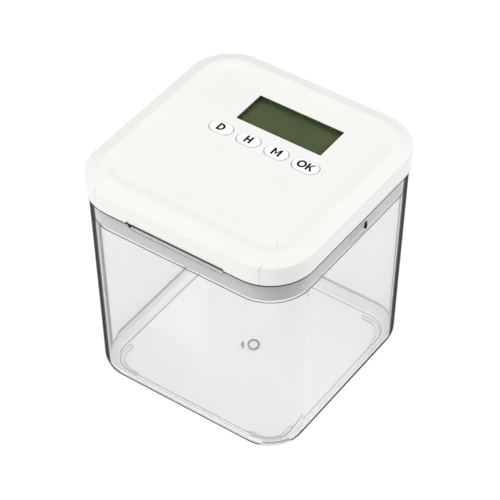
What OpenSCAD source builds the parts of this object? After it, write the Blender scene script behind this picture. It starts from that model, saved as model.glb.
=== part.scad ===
// Countdown lock box: a clear square tub with a white lift-off lid.
// The lid carries a display, four keys, two AA cells and a geared motor
// that drives two opposed bolts into windows in the tub's rim.
// Frame: origin at the centre of the base, +Z up, the front (finger notch,
// battery cover) faces -Y, the display is read from the front.

/* [Overall] */
// Width and depth of the lid
lid_w = 150; // [149:0.5:151]
// Radius of the lid's upright corners
lid_r = 28.8; // [28.4:0.1:29.2]
// Height of the tub, from the feet to the lid seam
tub_h = 142; // [110:1:180]

/* [Tub] */
// How far the tub's rim stands inside the lid's edge
rim_inset = 1.3; // [1.1:0.1:1.4]
// How much each side wall leans in from rim to base
wall_draft = 3.95; // [3:0.05:4.2]
// Wall thickness below the rim ledge
wall_t = 3; // [2.8:0.1:3.4]
// Wall thickness of the rim zone around the plug
rim_t = 2; // [1.9:0.05:2.1]
// Thickness of the floor
floor_t = 3.5; // [2.5:0.1:5]
// Outer radius of the bottom edge
base_r = 10; // [8:0.1:10.2]
// Inner radius where floor meets wall
inner_r = 7; // [6:0.1:8]
// Height of the moulded foot ribs
foot_h = 1; // [0.6:0.1:1.4]
// Radius of the foot ribs round each corner
foot_r = 12.4; // [10:0.1:12.4]
// Length of the finger notch in the rim
notch_l = 66.4; // [50:0.1:80]
// Depth of the finger notch below the seam
notch_d = 4.3; // [3.5:0.1:4.6]

/* [Lid shell] */
// Height of the lid's upright band
band_h = 12.7; // [12.4:0.1:12.9]
// Height of the crest line above the seam
crest_h = 15.6; // [15.4:0.1:15.9]
// Height of the dished top face above the seam
dish_h = 14.7; // [14.6:0.05:14.8]
// Shell thickness of the top cover
skin = 2.2; // [2:0.1:2.3]
// Depth of the plug below the seam
plug_d = 14.8; // [14.6:0.1:15.2]

/* [Battery cover] */
// Middle of the cover across the front
cover_cx = 1.5; // [0:0.1:2]
// Half width of the cover
cover_hw = 55.65; // [55:0.05:56]
// Distance of the cover's rear edge from the middle of the lid
cover_y = 51.3; // [51:0.1:51.6]
// Gap all round the cover
cover_gap = 0.15; // [0.1:0.05:0.25]

/* [Display and keys] */
// Width of the display window
lcd_w = 58.4; // [54:0.1:60]
// Depth of the display window
lcd_d = 24.6; // [22:0.1:25]
// Travel of each key
key_travel = 0.8; // [0.4:0.1:0.8]
// Gap round each key
key_gap = 0.3; // [0.2:0.05:0.4]

/* [Lock drive] */
// Travel of each bolt
bolt_travel = 4; // [3:0.1:4.2]
// Thickness of the bolts
bolt_t = 3.6; // [3.2:0.1:3.7]
// Width of the bolt heads
bolt_w = 13; // [12:0.1:13.4]
// Rack and rack pinion module
mod_a = 1; // [1:1:1]
// Gear train module
mod_b = 0.7; // [0.7:0.1:0.7]

/* [Hidden] */
e = 0.01;
$fn = 48;

// ---- shared figures ----
S = tub_h;                       // height of the seam
cc = lid_w / 2 - lid_r;          // centre of every corner radius
rt = lid_r - rim_inset;          // tub corner radius at the rim
rb0 = rt - wall_draft;           // tub corner radius at the base
z0 = foot_h;                     // underside of the tub's floor
rim_z = S - 0.1;                 // top face of the rim
plug_r = rt - rim_t - 0.4;       // plug corner radius at the seam
lcd_c = [4.8, 33.2];             // centre of the display
key_y = 8.6;                     // row of keys
key_x = [-26.1, -7.0, 12.3, 32.2];
key_l = [15, 15, 15, 17];        // key lengths
key_w = [9.6, 9.6, 9.6, 10.6];   // key widths
head_y = 2;                      // the right bolt's head is off the middle by this
slot_z = -8.8;                   // middle of the bolt windows below the seam
bolt_z = -10.8;                  // underside of the bolts
na = 18; nw = 36; ni = 12; nb = 40; nm = 10;   // teeth
ra = mod_a * na / 2;             // rack pinion pitch radius
d1 = mod_b * (nw + ni) / 2;      // drive axle to idler axle
d2 = mod_b * (nb + nm) / 2;      // idler axle to motor shaft
a1 = 75;                         // direction of the idler from the drive axle
a2 = 70;                         // direction of the motor from the idler
idl = [d1 * cos(a1), d1 * sin(a1)];
mot = [idl[0] + d2 * cos(a2), idl[1] + d2 * sin(a2)];
pa = 25;                         // pressure angle
cell_y = -58.6; cell_z = 3.2;    // the cells' line
tip_x = 69.3;                    // bolt tip when drawn in
boss = [[60, -40], [-60, -40], [56, 52], [-56, 52]];
pcb_post = [[-33, 19], [41.5, 19], [-33, 45], [41.5, 45]];
plate_post = [[-18, -19], [18, -19], [23, 17], [-15, 24]];
ear_x = 16.6;                    // bracket screws from the motor's middle

// ---- shared shapes ----
// tub corner radius at height z
function r_out(z) = rb0 + wall_draft * (z - z0) / (rim_z - z0);

// rounded square solid: p is the edge profile [corner radius, z], bottom to top
module rsq(p) {
    n = len(p);
    half = concat([[0, p[0][1]]], p, [[0, p[n - 1][1]]]);
    full = concat([for (q = p) [cc + q[0], q[1]]],
                  [for (i = [n - 1:-1:0]) [-cc - p[i][0], p[i][1]]]);
    for (sx = [-1, 1], sy = [-1, 1])
        translate([sx * cc, sy * cc, 0]) rotate_extrude($fn = 96) polygon(half);
    rotate([90, 0, 0]) translate([0, 0, -cc]) linear_extrude(2 * cc) polygon(full);
    rotate([90, 0, 90]) translate([0, 0, -cc]) linear_extrude(2 * cc) polygon(full);
}

// arc points, centre c, radius r, from angle a to b
function arc(c, r, a, b, n) = [for (i = [0:n]) c + r * [cos(a + (b - a) * i / n), sin(a + (b - a) * i / n)]];

// flat shape with parallel sides and round ends
module stadium(l, w) {
    square([l - w, w], center = true);
    for (s = [-1, 1]) translate([s * (l - w) / 2, 0]) circle(d = w);
}

// rounded rectangle
module rrect(l, w, r) {
    square([l - 2 * r, w], center = true);
    square([l, w - 2 * r], center = true);
    for (x = [-1, 1], y = [-1, 1]) translate([x * (l / 2 - r), y * (w / 2 - r)]) circle(r = r, $fn = 24);
}

// involute gear outline
function invd(a) = tan(a) * 180 / PI - a;
function flank(n, m, r) = let (rp = m * n / 2, rb = rp * cos(pa))
    90 / n - 0.06 / rp * 180 / PI + invd(pa) - invd(acos(min(1, rb / r)));
function gear_pts(n, m) = let (rp = m * n / 2, rb = rp * cos(pa),
        rr = rp - 1.1 * m, rx = rp + 0.8 * m, r0 = max(rb, rr), k = 4,
        rs = concat(rr < rb ? [rr] : [], [for (i = [0:k]) r0 + (rx - r0) * i / k]))
    [for (t = [0:n - 1]) each concat(
        [for (i = [0:len(rs) - 1]) let (f = flank(n, m, max(rs[i], rb)))
            rs[i] * [cos(360 * t / n - f), sin(360 * t / n - f)]],
        [for (i = [len(rs) - 1:-1:0]) let (f = flank(n, m, max(rs[i], rb)))
            rs[i] * [cos(360 * t / n + f), sin(360 * t / n + f)]])];
module gear(n, m, h) linear_extrude(h) polygon(gear_pts(n, m));

// pan-head screw, head up, seat at z = 0
module screw(r, l, hr, hh) {
    difference() {
        cylinder(r = hr, h = hh, $fn = 32);
        for (a = [0, 90]) rotate([0, 0, a]) translate([0, 0, hh]) cube([hr * 1.3, hr * 0.3, hh], center = true);
    }
    translate([0, 0, -l]) cylinder(r = r, h = l + e, $fn = 24);
}

// insulated lead: an eight-sided tube of diameter d through the points p; ref is never along it
module lead(p, d, ref) {
    n = len(p);
    dir = [for (i = [0:n - 1]) let (v = (i > 0 ? (p[i] - p[i - 1]) / norm(p[i] - p[i - 1]) : [0, 0, 0])
        + (i < n - 1 ? (p[i + 1] - p[i]) / norm(p[i + 1] - p[i]) : [0, 0, 0])) v / norm(v)];
    pts = [for (i = [0:n - 1]) let (u = cross(dir[i], ref), a = u / norm(u), b = cross(dir[i], a))
        for (k = [0:7]) p[i] + d / 2 * (a * cos(45 * k) + b * sin(45 * k))];
    polyhedron(pts, concat([[for (k = [7:-1:0]) k]], [[for (k = [0:7]) (n - 1) * 8 + k]],
        [for (i = [0:n - 2]) for (k = [0:7]) let (m = (k + 1) % 8)
            each [[i * 8 + k, i * 8 + m, i * 8 + 8 + m], [i * 8 + k, i * 8 + 8 + m, i * 8 + 8 + k]]]));
}

// one lock bolt, drawn in, pointing to +X; its rack faces the pinion from -Y
module bolt() {
    hp = PI / 4 - 0.06;
    yr = -ra - 1.1 * mod_a;
    yt = -ra + 0.8 * mod_a;
    rack = [for (k = [-4:3]) let (x = (k + 0.5) * PI * mod_a) each [
        [x - (hp + 1.1 * tan(pa)) * mod_a, yr], [x - (hp - 0.8 * tan(pa)) * mod_a, yt],
        [x + (hp - 0.8 * tan(pa)) * mod_a, yt], [x + (hp + 1.1 * tan(pa)) * mod_a, yr]]];
    translate([0, 0, bolt_z]) linear_extrude(bolt_t)
        polygon(concat([[-13, -13.5], [-13, yr]], rack, [[46, yr],
            [46, head_y + bolt_w / 2], [56, head_y + bolt_w / 2],
            [tip_x - 1, head_y + bolt_w / 2], [tip_x, head_y + bolt_w / 2 - 1],
            [tip_x, head_y - bolt_w / 2 + 1], [tip_x - 1, head_y - bolt_w / 2],
            [56, head_y - bolt_w / 2], [56, -13.5]]));
}

// bridge that holds one bolt down, right-hand side
module guide() {
    difference() {
        union() {
            translate([61, head_y - 13.4, -6.9]) cube([5, 26.8, 2.6]);
            for (y = [head_y - 13.4, head_y + 7]) translate([61, y, -9]) cube([5, 6.4, 4]);
        }
        for (y = [head_y - 10.2, head_y + 10.2]) translate([63.5, y, -10]) cylinder(r = 1.15, h = 8, $fn = 24);
    }
}

// edge profiles, heights from the seam
shell_out = [[lid_r, 0.2], [lid_r, band_h], [lid_r - 9.05, crest_h], [lid_r - 10.4, crest_h],
    [lid_r - 11.6, crest_h - (crest_h - dish_h) * 0.14], [lid_r - 13, crest_h - (crest_h - dish_h) * 0.42],
    [lid_r - 14.6, crest_h - (crest_h - dish_h) * 0.76], [lid_r - 16.4, crest_h - (crest_h - dish_h) * 0.96], [lid_r - 17.8, dish_h]];
shell_in = [[lid_r - skin, -1], [lid_r - skin, band_h - 1.5], [lid_r - 9.6, crest_h - 2.2],
    [lid_r - 12, crest_h - 2.35], [lid_r - 17.8, dish_h - skin]];
function lift(p, z) = [for (q = p) [q[0], q[1] + z]];

// outline of the battery cover seen from above, grown by g
module cover_outline(g) {
    w = cover_hw + g; y1 = -cover_y + g;
    translate([cover_cx - w, -90]) square([2 * w, 90 + y1 - 6]);
    translate([cover_cx - w + 6, -90]) square([2 * w - 12, 90 + y1]);
    for (s = [-1, 1]) translate([cover_cx + s * (w - 6), y1 - 6]) circle(r = 6);
}

// ---- the tub ----
module container_body() color([0.9, 0.93, 0.92, 0.35]) {
    difference() {
        union() {
            rsq(concat(arc([r_out(z0 + base_r) - base_r, z0 + base_r], base_r, -90, 0, 6), [[rt, rim_z]]));
            // foot ribs under the four corners
            for (a = [0:90:270]) rotate([0, 0, a]) translate([cc, cc, 0]) {
                rotate_extrude(angle = 90, $fn = 96) translate([foot_r - 1.2, 0]) square([2.4, z0 + 0.5]);
                translate([foot_r - 1.2, -4, 0]) cube([2.4, 4, z0 + 0.5]);
                translate([-4, foot_r - 1.2, 0]) cube([4, 2.4, z0 + 0.5]);
                translate([foot_r, -4, 0]) cylinder(d = 2.4, h = z0 + 0.5, $fn = 32);
                translate([-4, foot_r, 0]) cylinder(d = 2.4, h = z0 + 0.5, $fn = 32);
            }
        }
        // inside, with a ledge under the plug
        let (zf = z0 + floor_t)
        rsq(concat(arc([r_out(zf + inner_r) - wall_t - inner_r, zf + inner_r], inner_r, -90, 0, 6),
            [[r_out(S - plug_d - 1.2) - wall_t, S - plug_d - 1.2], [r_out(S - plug_d - 0.6) - rim_t, S - plug_d - 0.6],
             [r_out(S + 2) - rim_t, S + 2]]));
        // finger notch in the front of the rim
        translate([cover_cx, -lid_w / 2 - 2, S - notch_d]) rotate([-90, 0, 0]) linear_extrude(6) {
            translate([-notch_l / 2 + 3.6, -10]) square([notch_l - 7.2, 10]);
            translate([-notch_l / 2, -10]) square([notch_l, 10 - 3.6]);
            for (s = [-1, 1]) translate([s * (notch_l / 2 - 3.6), -3.6]) circle(r = 3.6);
        }
        // bolt windows
        for (a = [0, 180]) rotate([0, 0, a]) translate([lid_w / 2 - 8, head_y, S + slot_z])
            rotate([90, 0, 90]) linear_extrude(10) rrect(16, 6, 1);
        // moulding gate under the floor
        translate([0, 0, z0 - e]) difference() {
            cylinder(r = 4.75, h = 0.6);
            cylinder(r = 3.2, h = 1);
        }
    }
}

// ---- fixed pieces of the lid ----
module lid_base() color([0.93, 0.93, 0.92]) translate([0, 0, S]) difference() {
    union() {
        difference() {
            union() {
                rsq([[plug_r - 1.2, -plug_d], [plug_r - 0.4, -plug_d + 0.8], [plug_r, 0], [plug_r, 4]]);
                rsq([[lid_r - skin - 0.2, -0.05], [lid_r - skin - 0.2, 1.5]]);
            }
            rsq([[plug_r - 2.4, -plug_d + 2], [plug_r - 2, 0], [plug_r - 2, 6]]);
        }
        // screw bosses
        for (b = boss) translate([b[0], b[1], -plug_d]) cylinder(r = 4.5, h = 4);
        // bearings for the two axles
        translate([0, 0, -13]) cylinder(r = 3.2, h = 2);
        translate([idl[0], idl[1], -13]) cylinder(r = 2, h = 6.9, $fn = 32);
        // posts for the gear plate; two carry spigots
        for (i = [0:3]) translate([plate_post[i][0], plate_post[i][1], -13]) {
            cylinder(r = 2.5, h = 16.4, $fn = 32);
            if (i > 1) cylinder(r = 1, h = 17.4, $fn = 24);
        }
        // posts for the motor bracket, and the motor's seat
        for (s = [-1, 1]) translate([mot[0] + s * ear_x, mot[1], -13]) cylinder(r = 2.5, h = 4.4, $fn = 32);
        // rails and fences for the two bolts
        for (a = [0, 180]) rotate([0, 0, a]) {
            translate([-12, -13, -13]) cube([72, 2, 2]);
            for (y = [head_y - 4.5, head_y + 2.5]) translate([48, y, -13]) cube([20, 2, 2]);
            translate([-12, -15.2, -13]) cube([56, 1.4, 4.5]);
            for (y = [head_y - 13.4, head_y + 7]) translate([61, y, -13]) cube([5, 6.4, 4]);
        }
        // pillars under the battery tray
        for (x = [-42, 42], y = [-63.5, -53.5]) translate([x, y, -13]) cylinder(r = 2.4, h = 6.9, $fn = 32);
    }
    for (b = boss) translate([b[0], b[1], 0]) {
        translate([0, 0, -plug_d - 1]) cylinder(r = 3.2, h = 3);
        translate([0, 0, -plug_d - 1]) cylinder(r = 1.7, h = 8, $fn = 32);
    }
    translate([0, 0, -14.2]) cylinder(r = 1.5, h = 6, $fn = 32);
    translate([idl[0], idl[1], -14.2]) cylinder(r = 1, h = 10, $fn = 32);
    for (i = [0, 1]) translate([plate_post[i][0], plate_post[i][1], -6]) cylinder(r = 1, h = 12, $fn = 24);
    for (s = [-1, 1]) translate([mot[0] + s * ear_x, mot[1], -14.2]) cylinder(r = 1, h = 8, $fn = 24);
    for (a = [0, 180]) rotate([0, 0, a]) {
        for (y = [head_y - 10.2, head_y + 10.2]) translate([63.5, y, -14.2]) cylinder(r = 1, h = 8, $fn = 24);
        translate([66, head_y - bolt_w / 2 - 0.4, bolt_z - 0.3]) cube([8, bolt_w + 0.8, bolt_t + 1.5]);
    }
}

module lid_top_cover() color([0.96, 0.96, 0.95]) translate([0, 0, S]) difference() {
    union() {
        difference() {
            rsq(shell_out);
            rsq(shell_in);
        }
        for (b = boss) translate([b[0], b[1], -plug_d + 4.1]) cylinder(r = 3.5, h = plug_d - 4.1 + dish_h - skin + 0.1, $fn = 40);
        for (b = pcb_post) translate([b[0], b[1], 6.8]) cylinder(r = 2.5, h = dish_h - skin - 6.7, $fn = 32);
    }
    translate([0, 0, -4]) linear_extrude(30) cover_outline(cover_gap);
    for (b = boss) translate([b[0], b[1], -plug_d]) cylinder(r = 1.5, h = plug_d + 8, $fn = 24);
    for (b = pcb_post) translate([b[0], b[1], 6]) cylinder(r = 1, h = 6, $fn = 24);
    translate([lcd_c[0], lcd_c[1], 5]) linear_extrude(20) square([lcd_w, lcd_d], center = true);
    for (i = [0:3]) translate([key_x[i], key_y, 5]) linear_extrude(20) stadium(key_l[i] + 2 * key_gap, key_w[i] + 2 * key_gap);
}

module lid_screws() color([0.75, 0.76, 0.78])
    for (b = boss) translate([b[0], b[1], S - plug_d + 2]) rotate([180, 0, 0]) screw(1.45, 15, 2.8, 1.6);

module lcd_lens() color([0.75, 0.8, 0.72, 0.5]) translate([lcd_c[0], lcd_c[1], S]) {
    translate([0, 0, 12.4]) linear_extrude(dish_h - 12.5) square([lcd_w - 0.3, lcd_d - 0.3], center = true);
    translate([0, 0, 11.6]) linear_extrude(0.85) rrect(lcd_w + 3.6, lcd_d + 3.6, 1);
}

module lcd_panel() color([0.33, 0.37, 0.25]) translate([lcd_c[0], lcd_c[1], S + 8.6])
    linear_extrude(2.8) square([63.2, 30.2], center = true);

module lcd_holder() color([0.2, 0.2, 0.2]) translate([lcd_c[0], lcd_c[1], S]) difference() {
    translate([0, 0, 6.85]) linear_extrude(4.55) rrect(66, 33, 1);
    translate([0, 0, 8.55]) linear_extrude(5) square([63.4, 30.4], center = true);
    translate([0, 0, 6]) linear_extrude(5) square([56, 22], center = true);
}

module main_pcb() color([0.12, 0.42, 0.25]) translate([0, 0, S + 5.2]) difference() {
    translate([4.5, 24]) linear_extrude(1.6) rrect(83, 50, 2);
    for (b = pcb_post) translate([b[0], b[1], -1]) cylinder(r = 1.1, h = 4, $fn = 24);
}

module pcb_screws() color([0.75, 0.76, 0.78])
    for (b = pcb_post) translate([b[0], b[1], S + 5.2]) rotate([180, 0, 0]) screw(0.9, 6, 2, 1.3);

module pcb_components() translate([0, 0, S + 5.2]) {
    color([0.1, 0.1, 0.1]) translate([-25, 34, -0.6]) cube([9, 9, 1.2], center = true);
    color([0.8, 0.8, 0.82]) translate([-12, 40, -1.2]) rotate([90, 0, 90]) linear_extrude(8) stadium(4.2, 2.4);
    color([0.15, 0.2, 0.5]) translate([-24, 44, -6]) cylinder(r = 2.5, h = 6, $fn = 32);
    color([0.95, 0.94, 0.88]) translate([-36, 1, -4]) cube([8, 4.5, 4]);
    color([0.85, 0.7, 0.5]) for (x = [26:3:41]) translate([x, 42, -0.4]) cube([1.6, 0.9, 0.8], center = true);
}

module tact_switches() for (i = [0:3]) translate([key_x[i], key_y, S + 6.8]) {
    color([0.2, 0.2, 0.2]) translate([-3, -3, 0]) cube([6, 6, 3.3]);
    color([0.85, 0.2, 0.15]) cylinder(d = 3.4, h = 3.55, $fn = 32);
}

module piezo_buzzer() color([0.08, 0.08, 0.08]) translate([36, 31, S + 0.2]) difference() {
    cylinder(r = 5, h = 5, $fn = 40);
    translate([0, 0, -1]) cylinder(r = 0.9, h = 2, $fn = 24);
}

// hollow silicone cone that returns one key
module dome(i) color([0.85, 0.86, 0.85, 0.7]) translate([key_x[i], key_y, S]) rotate_extrude()
    polygon([[4.9, 6.8], [5.6, 6.8], [4.9, 11.2], [4.3, 11.2]]);
module key_dome_days() dome(0);
module key_dome_hours() dome(1);
module key_dome_minutes() dome(2);
module key_dome_ok() dome(3);

module battery_tray() color([0.9, 0.9, 0.88]) translate([0, cell_y, S]) difference() {
    translate([-54, -8.2, -6]) cube([106.5, 17.4, 14]);
    translate([-52.5, -7.4, -4.2]) cube([103.4, 14.9, 20]);
    translate([-49, -12, 1]) cube([96, 8, 20]);
    // relief so that a cell can be tipped out
    for (x = [-46, 20]) translate([x, 2, -7]) cube([20, 4, 4]);
}

module cell(x) translate([x, cell_y, S + cell_z]) rotate([0, 90, 0]) {
    cylinder(r = 7.2, h = 49.4, $fn = 64);
    cylinder(r = 2.75, h = 50.45, $fn = 40);
}
module battery_cell_left() color([0.22, 0.24, 0.27]) cell(-50.55);
module battery_cell_right() color([0.22, 0.24, 0.27]) cell(-0.05);

module battery_contact_plate() color([0.8, 0.8, 0.78]) translate([50.45, cell_y, S]) {
    translate([0, -5, -1.6]) cube([0.4, 10, 11]);
    translate([0, 2, 8.1]) cube([0.4, 8.4, 1.3]);
}

// conical coil, three turns of wire, with its back plate
module battery_spring() color([0.8, 0.8, 0.78]) translate([-52.45, cell_y, S]) {
    translate([0, -5, -1.6]) cube([0.35, 10, 11]);
    translate([0, 2, 8.1]) cube([0.35, 8.4, 1.3]);
    for (i = [0:2]) translate([0.62 + i * 0.47, 0, cell_z]) rotate([0, 90, 0])
        rotate_extrude($fn = 40) translate([4.2 - i * 1.1, 0]) circle(d = 0.6, $fn = 16);
}

module battery_leads() translate([0, 0, S]) {
    color([0.75, 0.1, 0.1]) lead([[50.65, -48.2, 8.7], [50.65, -45, 8.7], [40, -42, 7], [-28, -34, 7],
        [-34, -6, 3.6], [-33, 0.85, 3.6]], 1.2, [0.1, 0.2, 1]);
    color([0.1, 0.1, 0.1]) lead([[-52.3, -48.2, 8.7], [-52.3, -44, 8.7], [-42, -30, 6], [-37, -6, 3],
        [-35, 0.85, 3]], 1.2, [0.1, 0.2, 1]);
}

module motor_can() color([0.78, 0.79, 0.8]) translate([mot[0], mot[1], S]) difference() {
    union() {
        translate([0, 0, -12.75]) cylinder(r = 12.2, h = 11.9, $fn = 72);
        translate([0, 0, -1]) cylinder(r = 3, h = 0.45, $fn = 32);
    }
    translate([0, 0, -9]) cylinder(r = 1.04, h = 12, $fn = 32);
}

module motor_bracket() color([0.62, 0.63, 0.65]) translate([mot[0], mot[1], S]) difference() {
    union() {
        translate([0, 0, -11.2]) cylinder(r = 13.6, h = 4.2, $fn = 72);
        translate([-ear_x - 3, -3, -8.6]) cube([2 * ear_x + 6, 6, 1.6]);
    }
    translate([0, 0, -12]) cylinder(r = 12.25, h = 8, $fn = 72);
    for (s = [-1, 1]) translate([s * ear_x, 0, -10]) cylinder(r = 1.15, h = 6, $fn = 24);
}

module motor_bracket_screws() color([0.75, 0.76, 0.78])
    for (s = [-1, 1]) translate([mot[0] + s * ear_x, mot[1], S - 7]) screw(0.95, 6, 2, 1.3);

module motor_leads() translate([mot[0], mot[1], S]) for (s = [-1, 1])
    color(s > 0 ? [0.75, 0.1, 0.1] : [0.1, 0.1, 0.1])
        lead([[12.1, 2.5 * s, -4], [15.5, 2.5 * s, -4], [17, 3 * s, -1], [17, 3 * s, 5.2]], 1, [0.1, 1, 0.1]);

module drive_axle() color([0.7, 0.71, 0.73]) translate([0, 0, S - 14.2]) cylinder(r = 1.5, h = 18.8, $fn = 40);
module idler_axle() color([0.7, 0.71, 0.73]) translate([idl[0], idl[1], S - 14.2]) cylinder(r = 1, h = 18.8, $fn = 32);

module gear_plate() color([0.85, 0.85, 0.84]) translate([0, 0, S + 3.4]) difference() {
    union() {
        linear_extrude(1.2) polygon([for (i = [0, 1, 2, 3]) plate_post[i]]);
        for (b = plate_post) translate([b[0], b[1], 0]) cylinder(r = 4, h = 1.2, $fn = 32);
    }
    translate([0, 0, -1]) cylinder(r = 1.5, h = 4, $fn = 40);
    translate([idl[0], idl[1], -1]) cylinder(r = 1, h = 4, $fn = 32);
    for (i = [0:3]) translate([plate_post[i][0], plate_post[i][1], -1]) cylinder(r = 1.05, h = 4, $fn = 24);
}

module gear_plate_screws() color([0.75, 0.76, 0.78])
    for (i = [0, 1]) translate([plate_post[i][0], plate_post[i][1], S + 4.6]) screw(0.95, 8, 2, 1.3);

module bolt_guide_right() color([0.85, 0.85, 0.84]) translate([0, 0, S]) guide();
module bolt_guide_left() color([0.85, 0.85, 0.84]) translate([0, 0, S]) rotate([0, 0, 180]) guide();
module bolt_guide_screws() color([0.75, 0.76, 0.78])
    for (a = [0, 180], y = [head_y - 10.2, head_y + 10.2]) rotate([0, 0, a]) translate([63.5, y, S - 4.3]) screw(0.95, 8, 2, 1.3);

// ---- moving pieces ----
module battery_cover() color([0.96, 0.96, 0.95]) translate([0, 0, S]) {
    difference() {
        intersection() {
            difference() {
                rsq(shell_out);
                rsq(shell_in);
            }
            translate([0, 0, -4]) linear_extrude(30) cover_outline(0);
        }
        // finger recess above the notch
        translate([cover_cx, -lid_w / 2 + 1, 0]) rotate([90, 0, 0]) linear_extrude(10) {
            translate([-notch_l / 2, -3]) square([notch_l, 4]);
            translate([-notch_l / 2 + 1.4, -3]) square([notch_l - 2.8, 5.4]);
            for (s = [-1, 1]) translate([s * (notch_l / 2 - 1.4), 1]) circle(r = 1.4, $fn = 32);
        }
    }
    // tabs that tuck under the top cover, and side stiffeners
    for (x = [-36, 1.5, 39]) {
        translate([x - 5, -56, 10.9]) cube([10, 9, 1.4]);
        translate([x - 5, -56, 12]) cube([10, 4.5, 0.8]);
    }
    for (s = [-1, 1]) translate([cover_cx + s * (cover_hw - 0.6) - 0.5, -66, 8.6]) cube([1, 8, 4.8]);
}

module key(i) color([0.97, 0.97, 0.96]) translate([key_x[i], key_y, S]) {
    translate([0, 0, 12]) linear_extrude(3.2) stadium(key_l[i], key_w[i]);
    translate([0, 0, 11.25]) linear_extrude(0.9) stadium(key_l[i] + 2, key_w[i] + 2);
}
module key_days() key(0);
module key_hours() key(1);
module key_minutes() key(2);
module key_ok() key(3);

module lock_bolt_right() color([0.9, 0.9, 0.88]) translate([0, 0, S]) bolt();
module lock_bolt_left() color([0.9, 0.9, 0.88]) translate([0, 0, S]) rotate([0, 0, 180]) bolt();

module drive_gear() color([0.93, 0.92, 0.86]) translate([0, 0, S]) difference() {
    union() {
        translate([0, 0, -10.7]) rotate([0, 0, 10]) gear(na, mod_a, 4.2);
        translate([0, 0, -5.8]) rotate([0, 0, a1]) gear(nw, mod_b, 2.6);
        translate([0, 0, -10.9]) cylinder(r = 4.5, h = 8.4);
    }
    translate([0, 0, -12]) cylinder(r = 1.55, h = 12, $fn = 40);
}

module idler_gear() color([0.93, 0.92, 0.86]) translate([idl[0], idl[1], S]) difference() {
    union() {
        translate([0, 0, -5.9]) rotate([0, 0, a1 + 180 + 180 / ni]) gear(ni, mod_b, 6);
        translate([0, 0, 0]) rotate([0, 0, a2]) gear(nb, mod_b, 2.6);
        translate([0, 0, -6]) cylinder(r = 2.4, h = 9.2, $fn = 32);
    }
    translate([0, 0, -8]) cylinder(r = 1.05, h = 14, $fn = 32);
}

module motor_pinion() color([0.8, 0.68, 0.35]) translate([mot[0], mot[1], S - 0.2]) difference() {
    rotate([0, 0, a2 + 180 + 180 / nm]) gear(nm, mod_b, 3);
    translate([0, 0, -1]) cylinder(r = 1, h = 6, $fn = 32);
}
module motor_shaft() color([0.7, 0.71, 0.73]) translate([mot[0], mot[1], S - 8]) cylinder(r = 1, h = 11.1, $fn = 32);

container_body();
lid_base();
lid_top_cover();
lid_screws();
lcd_lens();
lcd_panel();
lcd_holder();
main_pcb();
pcb_screws();
pcb_components();
tact_switches();
piezo_buzzer();
key_dome_days();
key_dome_hours();
key_dome_minutes();
key_dome_ok();
battery_tray();
battery_cell_left();
battery_cell_right();
battery_contact_plate();
battery_spring();
battery_leads();
motor_can();
motor_bracket();
motor_bracket_screws();
motor_leads();
drive_axle();
idler_axle();
gear_plate();
gear_plate_screws();
bolt_guide_right();
bolt_guide_left();
bolt_guide_screws();
battery_cover();
key_days();
key_hours();
key_minutes();
key_ok();
lock_bolt_right();
lock_bolt_left();
drive_gear();
idler_gear();
motor_pinion();
motor_shaft();
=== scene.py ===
"""Looks of the countdown lock box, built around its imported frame."""

import math

import bmesh
import bpy
from mathutils import Matrix, Vector


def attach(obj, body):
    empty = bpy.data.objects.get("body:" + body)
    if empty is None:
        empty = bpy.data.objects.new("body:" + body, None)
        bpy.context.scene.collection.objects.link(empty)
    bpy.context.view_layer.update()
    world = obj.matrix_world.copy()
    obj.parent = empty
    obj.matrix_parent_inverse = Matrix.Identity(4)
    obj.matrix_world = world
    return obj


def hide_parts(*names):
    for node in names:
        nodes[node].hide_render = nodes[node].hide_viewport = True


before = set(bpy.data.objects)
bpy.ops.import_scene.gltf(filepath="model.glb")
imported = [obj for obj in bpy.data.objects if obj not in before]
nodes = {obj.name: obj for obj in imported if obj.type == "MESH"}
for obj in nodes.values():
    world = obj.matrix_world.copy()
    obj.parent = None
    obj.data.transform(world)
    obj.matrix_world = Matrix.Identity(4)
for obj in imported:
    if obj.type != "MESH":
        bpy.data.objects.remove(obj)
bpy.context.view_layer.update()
MM = 0.001

# figures of the object, in millimetres
S = 142.0        # height of the seam between tub and lid
CC = 46.2        # centres of the corner radii
LR = 28.8        # corner radius of the lid
RT = 27.5        # corner radius of the tub at its rim
RB = 23.55       # and at its base
Z0 = 1.0         # underside of the floor
RIM = 141.9
FOOT_R = 12.4    # radius of the foot ribs round each corner
BAND, CREST, DISH = 12.7, 15.6, 14.7
COVER_CX, COVER_HW, COVER_Y = 1.5, 55.65, 51.3
KEYS = (("key_days", -26.1, 15.0, 9.6), ("key_hours", -7.0, 15.0, 9.6),
        ("key_minutes", 12.3, 15.0, 9.6), ("key_ok", 32.2, 17.0, 10.6))
KEY_Y = 8.6
LCD_C, LCD_W, LCD_D = (4.8, 33.2), 58.4, 24.6
BOSSES = ((60, -40), (-60, -40), (56, 52), (-56, 52))
POSTS = ((-33, 19), (41.5, 19), (-33, 45), (41.5, 45))

scene = bpy.context.scene


# ---------------------------------------------------------------- camera
def make_camera():
    th, ph, roll = (math.radians(a) for a in (43.407, 35.277, -0.176))
    back = Vector((math.sin(ph) * math.cos(th), -math.cos(ph) * math.cos(th), math.sin(th)))
    right = Vector((math.cos(ph), math.sin(ph), 0))
    up = back.cross(right)
    c, s = math.cos(roll), math.sin(roll)
    right, up = right * c + up * s, up * c - right * s
    pos = (back * 1291.18 + right * -0.4365 + up * -44.3004) * MM + Vector((0, 0, S * MM))
    data = bpy.data.cameras.new("camera")
    data.sensor_fit = "HORIZONTAL"
    data.sensor_width = 36
    data.lens = 162.98
    data.shift_x, data.shift_y = 0.0015, 0.0001
    data.clip_start, data.clip_end = 0.05, 60
    cam = bpy.data.objects.new("camera", data)
    scene.collection.objects.link(cam)
    m = Matrix.Identity(4)
    for i, v in enumerate((right, up, back, pos)):
        m.col[i][:3] = v
    cam.matrix_world = m
    scene.camera = cam


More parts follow.
